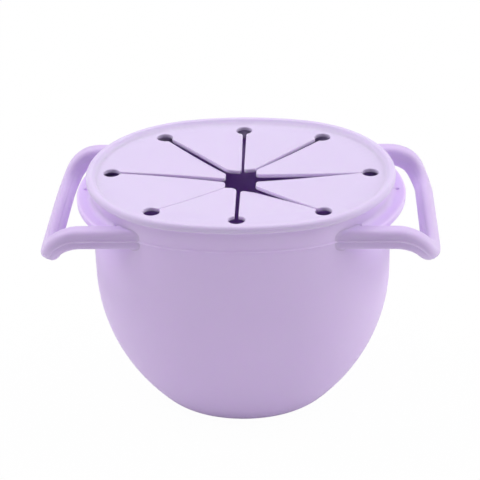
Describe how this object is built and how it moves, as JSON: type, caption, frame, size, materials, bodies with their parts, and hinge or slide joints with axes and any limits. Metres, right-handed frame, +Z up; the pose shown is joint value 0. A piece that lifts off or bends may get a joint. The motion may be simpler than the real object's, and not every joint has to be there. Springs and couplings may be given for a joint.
{
  "type": "toddler snack cup",
  "caption": "Oval soft silicone snack cup with two loop handles and a lift-off lid whose slit flaps bend for a hand to reach in.",
  "frame": {"origin": "middle of the flat base, on the surface that the cup stands on", "axes": "+Z up through the lid, +X towards the right handle, +Y to the back"},
  "size_m": [0.127, 0.0804, 0.08],
  "materials": {
    "cup_silicone": "matte",
    "lid_silicone": "matte",
    "flap_silicone": "matte"
  },
  "bodies": {
    "cup": {"cup": "cup_silicone", "left_handle": "cup_silicone", "right_handle": "cup_silicone", "left_ledge": "cup_silicone", "right_ledge": "cup_silicone"},
    "lid": {"lid_edge": "lid_silicone", "lid_top": "lid_silicone"},
    "flap_1": {"flap_1": "flap_silicone"},
    "flap_2": {"flap_2": "flap_silicone"},
    "flap_3": {"flap_3": "flap_silicone"},
    "flap_4": {"flap_4": "flap_silicone"},
    "flap_5": {"flap_5": "flap_silicone"},
    "flap_6": {"flap_6": "flap_silicone"},
    "flap_7": {"flap_7": "flap_silicone"},
    "flap_8": {"flap_8": "flap_silicone"}
  },
  "joints": [
    {"name": "lid_lift_off", "type": "slide", "parent": "cup", "child": "lid", "axis": [0, 0, 1], "range_m": [0, 0.09]},
    {"name": "flap_1_bend", "type": "hinge", "parent": "lid", "child": "flap_1", "pos_m": [0.03426, 0.01331, 0.07775], "axis": [0.4977, -0.8674, 0], "range_deg": [-50, 70], "stiffness_Nm_per_rad": 0.02},
    {"name": "flap_2_bend", "type": "hinge", "parent": "lid", "child": "flap_2", "pos_m": [0.01331, 0.02936, 0.07775], "axis": [0.9795, -0.2014, 0], "range_deg": [-50, 70], "stiffness_Nm_per_rad": 0.02},
    {"name": "flap_3_bend", "type": "hinge", "parent": "lid", "child": "flap_3", "pos_m": [-0.01331, 0.02936, 0.07775], "axis": [0.9795, 0.2014, 0], "range_deg": [-50, 70], "stiffness_Nm_per_rad": 0.02},
    {"name": "flap_4_bend", "type": "hinge", "parent": "lid", "child": "flap_4", "pos_m": [-0.03426, 0.01331, 0.07775], "axis": [0.4977, 0.8674, 0], "range_deg": [-50, 70], "stiffness_Nm_per_rad": 0.02},
    {"name": "flap_5_bend", "type": "hinge", "parent": "lid", "child": "flap_5", "pos_m": [-0.03426, -0.01331, 0.07775], "axis": [-0.4977, 0.8674, 0], "range_deg": [-50, 70], "stiffness_Nm_per_rad": 0.02},
    {"name": "flap_6_bend", "type": "hinge", "parent": "lid", "child": "flap_6", "pos_m": [-0.01331, -0.02936, 0.07775], "axis": [-0.9795, 0.2014, 0], "range_deg": [-50, 70], "stiffness_Nm_per_rad": 0.02},
    {"name": "flap_7_bend", "type": "hinge", "parent": "lid", "child": "flap_7", "pos_m": [0.01331, -0.02936, 0.07775], "axis": [-0.9795, -0.2014, 0], "range_deg": [-50, 70], "stiffness_Nm_per_rad": 0.02},
    {"name": "flap_8_bend", "type": "hinge", "parent": "lid", "child": "flap_8", "pos_m": [0.03426, -0.01331, 0.07775], "axis": [-0.4977, -0.8674, 0], "range_deg": [-50, 70], "stiffness_Nm_per_rad": 0.02}
  ]
}
